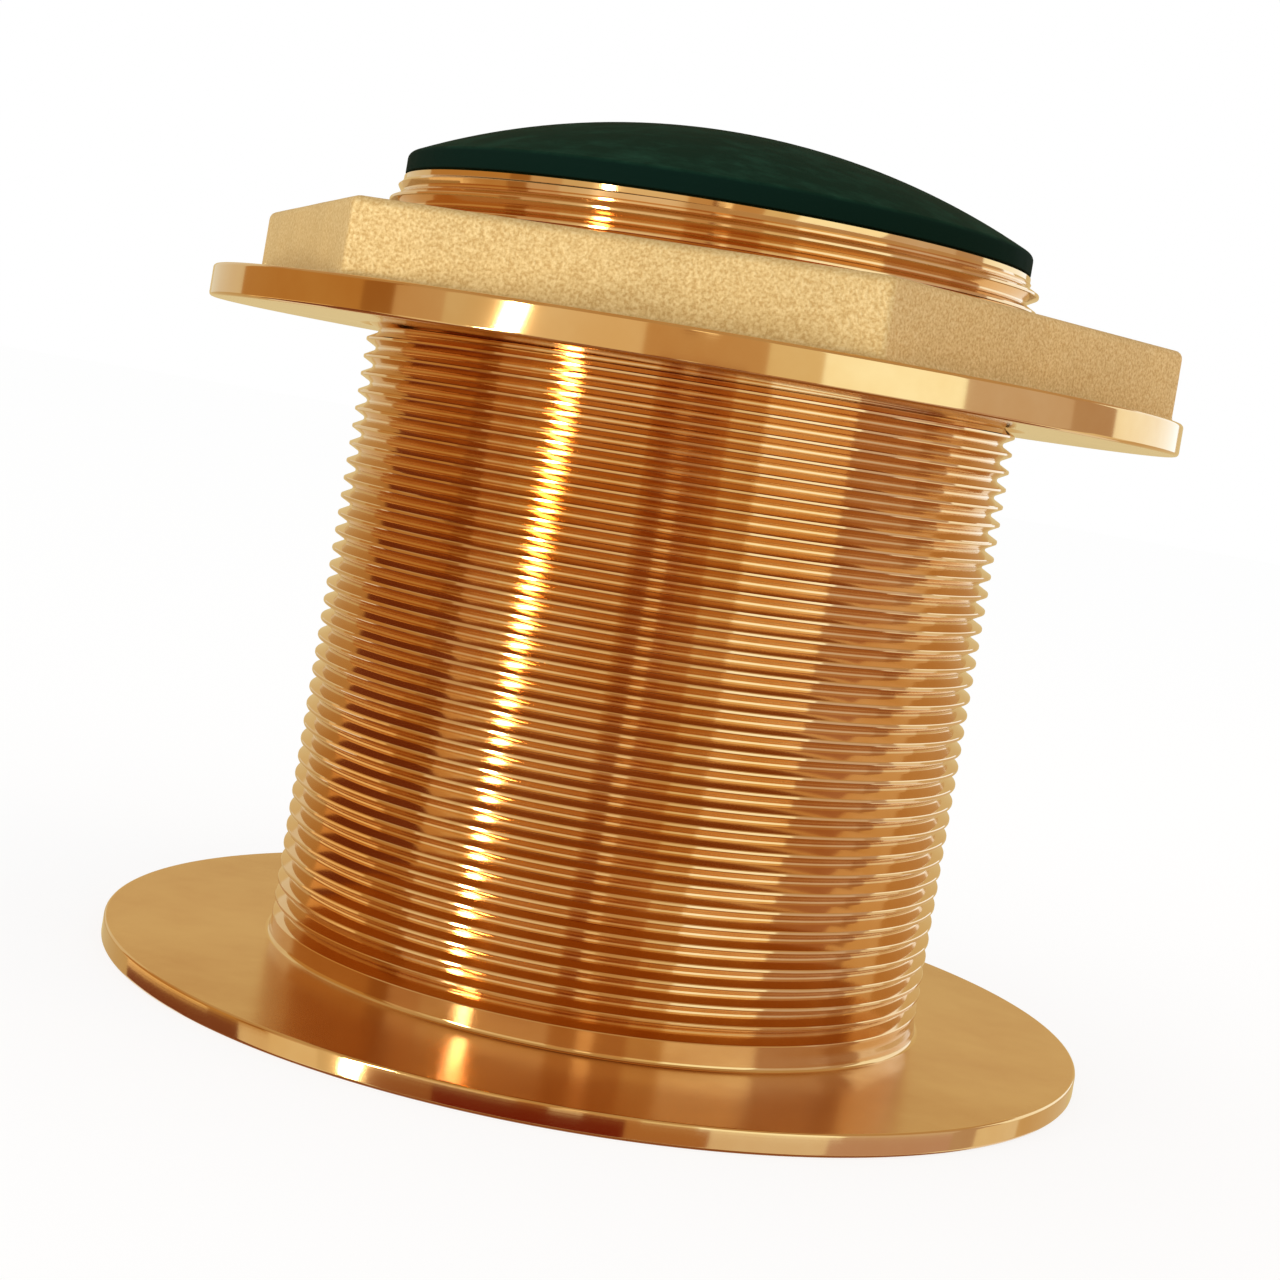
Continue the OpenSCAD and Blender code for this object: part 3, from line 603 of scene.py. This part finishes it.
cards = [  # span and lean in degrees, lower and upper edge, reach of those that stand in front of others
    {"name": "tan_left", "span": (-156, -125), "rows": (-0.4, 0.03), "colour": "#d6c090"},
    {"name": "pale_left", "span": (-156, -125), "rows": (0.03, 0.5), "colour": "#eae2c8"},
    {"name": "brown_left", "span": (-125, -78), "rows": (-0.09, 0.5), "colour": "#c99d62"},
    {"name": "brown_left_low", "span": (-125, -88), "rows": (-0.225, -0.09), "colour": "#f4d9a8", "strength": 1.15},
    {"name": "dark_left", "span": (-78, -69), "rows": (-0.09, 0.5), "colour": "#ad7e4a"},
    {"name": "dark_left_low", "span": (-88, -69), "rows": (-0.225, -0.09), "colour": "#c9a069"},
    {"name": "gold_left", "span": (-69, -56), "rows": (-0.1, 0.5), "colour": "#d9bd9c"},
    {"name": "gold_low", "span": (-69, -56), "rows": (-0.4, -0.1), "colour": "#f6ead2"},
    {"name": "cream_left", "span": (-56, -44), "rows": (-0.4, 0.5), "colour": "#e6d8bd"},
    {"name": "tan_front", "span": (-44, -11), "rows": (-0.222, 0.5), "colour": "#f3e7d2", "strength": 1.02},
    {"name": "brown_front", "span": (-11, 15), "rows": (-0.222, 0.5), "colour": "#d5b48c", "strength": 1.02},
    {"name": "dark_strip", "span": (-8.5, -3), "rows": (-0.222, 0.035), "lean": 8, "reach": 0.975, "colour": "#b98c6a"},
    {"name": "dark_right", "span": (2, 6.5), "rows": (-0.1, 0.035), "lean": 8, "reach": 0.975, "colour": "#c59979"},
    {"name": "dark_head", "span": (-7.5, 11), "rows": (0.035, 0.062), "reach": 0.975, "colour": "#b07f60"},
    {"name": "dark_high", "span": (-5, -2.5), "rows": (0.138, 0.2), "lean": 12.5, "reach": 0.97, "colour": "#93694a"},
    {"name": "pale_upper", "span": (1.5, 4), "rows": (0.138, 0.17), "reach": 0.97, "colour": "#f6ecd8",
        "strength": 1.3},
    {"name": "pale_high", "span": (-1.5, 4), "rows": (0.17, 0.5), "reach": 0.97, "colour": "#f6ecd8",
        "strength": 1.5},
    {"name": "pale_low", "span": (-2.9, 1.9), "rows": (-0.19, 0.035), "lean": 8, "reach": 0.965, "colour": "#f6ecd8",
        "strength": 1.15},
    {"name": "pale_block", "span": (-4, 3), "rows": (-0.222, -0.19), "reach": 0.965, "colour": "#f6ecd8",
        "strength": 1.15},
    {"name": "gold_front", "span": (15, 27), "rows": (-0.222, 0.5), "colour": "#f3ead0", "strength": 1.03},
    {"name": "cream_right", "span": (27, 60), "rows": (-0.222, 0.5), "colour": "#e2f2fb", "strength": 1.75},
    {"name": "mauve_right", "span": (60, 91), "rows": (-0.222, 0.5), "colour": "#e2d6d4", "strength": 0.98},
    {"name": "brown_right", "span": (91, 107), "rows": (0.03, 0.5), "colour": "#ccb6a8"},
    {"name": "brown_low", "span": (91, 99), "rows": (-0.4, 0.03), "colour": "#ccb6a8"},
    {"name": "white_right", "span": (107, 150), "rows": (0.03, 0.5), "colour": "#e2f1ff", "strength": 1.65},
    {"name": "pale_right", "span": (99, 116), "rows": (-0.4, 0.03), "colour": "#f0ecdc", "strength": 1.08},
    {"name": "tan_right", "span": (116, 150), "rows": (-0.4, 0.03), "colour": "#e0caa0"},
    {"name": "tan_back", "span": (150, 204), "rows": (-0.4, 0.5), "colour": "#dfc892"},
    {"name": "table_left", "span": (-125, -78), "rows": (-0.7, -0.225), "colour": "#875340"},
    {"name": "table_pale", "span": (-78, -69), "rows": (-0.7, -0.225), "colour": "#f0e2cc"},
    {"name": "table_brown", "span": (-44, -29), "rows": (-0.6, -0.222), "colour": "#a06a48"},
    {"name": "table_front", "span": (-29, 12), "rows": (-0.6, -0.222), "colour": "#7c2c1a"},
    {"name": "table_gold", "span": (12, 30), "rows": (-0.6, -0.222), "colour": "#b88458"},
    {"name": "table_right", "span": (30, 57), "rows": (-0.6, -0.222), "colour": "#efe8e4"},
    {"name": "table_mauve", "span": (57, 91), "rows": (-0.6, -0.222), "colour": "#d0b4b4"},
    {"name": "ceiling", "height": 0.52, "colour": "#cdb28e"},
    {"name": "ground", "height": -0.72, "colour": "#9c6a48"},
]


def emitter(name, colour, strength):
    material, tree = newMaterial(name)
    glow = addNode(tree, "ShaderNodeEmission", {"Color": linear(colour), "Strength": strength})
    addNode(tree, "ShaderNodeOutputMaterial", links={"Surface": glow.outputs["Emission"]})
    material.cycles.emission_sampling = "NONE"  # cards are met by mirrored rays alone
    return material


def cardPanel(card):
    facing = math.radians(viewpoint["azimuthDeg"])
    if "height" in card:  # a round lid over or under the ring of cards
        count = studio["lidSides"]
        points = ringPoints(studio["radius"] * studio["lidReach"], card["height"], count)
        return points, [tuple(range(count))]
    first, last = card["span"]
    steps = max(2, int((last - first) / studio["cardStepDeg"]))
    reach = studio["radius"] * card.get("reach", 1.0)
    lean = math.tan(math.radians(card.get("lean", 0))) / reach
    points = []
    for i in range(steps + 1):
        for z in card["rows"]:
            a = facing + math.radians(first + (last - first) * i / steps) + lean * z
            points.append((reach * math.sin(a), -reach * math.cos(a), z))
    return points, [(2 * i, 2 * i + 1, 2 * i + 3, 2 * i + 2) for i in range(steps)]


def placeCards():
    for card in cards:
        points, faces = cardPanel(card)
        mesh = bpy.data.meshes.new("card_" + card["name"])
        mesh.from_pydata(points, [], faces)
        mesh.materials.append(emitter("painted_card_" + card["name"], card["colour"], card.get("strength", 1.0)))
        panel = bpy.data.objects.new("card_" + card["name"], mesh)
        bpy.context.scene.collection.objects.link(panel)
        panel.visible_camera = False
        panel.visible_diffuse = False
        panel.visible_shadow = False
        panel.visible_transmission = False
    print("cards placed:", len(cards))


def placeLamps():
    reach = studio["radius"] * studio["lampReach"]
    for lamp in lamps:
        low, high = lamp["rows"]
        data = bpy.data.lights.new(lamp["name"], "AREA")
        data.shape = "RECTANGLE"
        data.size = reach * math.radians(lamp["widthDeg"])
        data.size_y = high - low
        data.color = linear(lamp["colour"])[:3]
        data.energy = lamp["radiance"] * math.pi * data.size * data.size_y
        panel = bpy.data.objects.new(lamp["name"], data)
        bpy.context.scene.collection.objects.link(panel)
        a = math.radians(viewpoint["azimuthDeg"] + lamp["azimuth"])
        panel.location = (reach * math.sin(a), -reach * math.cos(a), (low + high) / 2)
        panel.rotation_euler = (math.radians(90), math.radians(lamp["lean"]), a)
        panel.visible_camera = False
        panel.visible_glossy = lamp.get("glossy", True)
    print("lamps placed:", len(lamps))


# 1 for rays from the eye, off gloss or through glass, which see white. Matt surfaces get a plain level of light
def seenDirectly(tree):
    path = addNode(tree, "ShaderNodeLightPath")
    both = addNode(tree, "ShaderNodeMath", {"operation": "MAXIMUM"},
        {0: path.outputs["Is Camera Ray"], 1: path.outputs["Is Glossy Ray"]})
    return addNode(tree, "ShaderNodeMath", {"operation": "MAXIMUM"},
        {0: both.outputs["Value"], 1: path.outputs["Is Transmission Ray"]}).outputs["Value"]


def buildRoom():
    world = bpy.data.worlds.new("white_room")
    bpy.context.scene.world = world
    world.use_nodes = True
    tree = world.node_tree
    tree.nodes.clear()
    white = linear("#ffffff")
    level = addNode(tree, "ShaderNodeMapRange",
        {"To Min": studio["roomForDiffuse"], "To Max": 1.0}, {"Value": seenDirectly(tree)})
    room = addNode(tree, "ShaderNodeBackground", {"Color": white}, {"Strength": level.outputs["Result"]})
    addNode(tree, "ShaderNodeOutputWorld", links={"Surface": room.outputs["Background"]})

    half = studio["floorHalf"]
    mesh = bpy.data.meshes.new("floor")
    mesh.from_pydata([(-half, -half, 0), (half, -half, 0), (half, half, 0), (-half, half, 0)], [], [(0, 1, 2, 3)])
    material, tree = newMaterial("painted_floor")
    paint = addNode(tree, "ShaderNodeBsdfDiffuse", {"Color": linear(studio["floorPaint"])})
    glow = addNode(tree, "ShaderNodeEmission", {"Color": white, "Strength": 1.0})
    share = addNode(tree, "ShaderNodeMath", {"operation": "MULTIPLY", 1: studio["floorGlow"]}, {0: seenDirectly(tree)})
    lit = addNode(tree, "ShaderNodeMixShader",
        links={0: share.outputs["Value"], 1: paint.outputs["BSDF"], 2: glow.outputs["Emission"]})
    clear = addNode(tree, "ShaderNodeBsdfTransparent")  # seen from below, the floor isn't there
    side = addNode(tree, "ShaderNodeNewGeometry")
    both = addNode(tree, "ShaderNodeMixShader",
        links={0: side.outputs["Backfacing"], 1: lit.outputs["Shader"], 2: clear.outputs["BSDF"]})
    addNode(tree, "ShaderNodeOutputMaterial", links={"Surface": both.outputs["Shader"]})
    mesh.materials.append(material)
    floor = bpy.data.objects.new("floor", mesh)
    bpy.context.scene.collection.objects.link(floor)
    floor.visible_glossy = False
    floor.visible_shadow = False
    bpy.context.scene.view_settings.view_transform = "Standard"
    print("room built")


dressInnerNodes()
bronzeFace = turnedBronze("turned_bronze_face", faceCut)
bronzeRim = turnedBronze("turned_bronze_rim", rimCut)
bronzeThread = turnedBronze("cut_bronze_thread", threadCut)
bronzeCast = castBronze("sand_cast_bronze", castSkin)
print("bronze finishes made")
buildHousing(bronzeFace, bronzeRim, bronzeThread)
buildHullNut(bronzeCast, bronzeRim)
buildEndCap(greenResin("moulded_green_resin", resinSkin))
buildCableBush(bpy.data.materials["mouldedRubber"])
placeCamera()
buildRoom()
placeCards()
placeLamps()
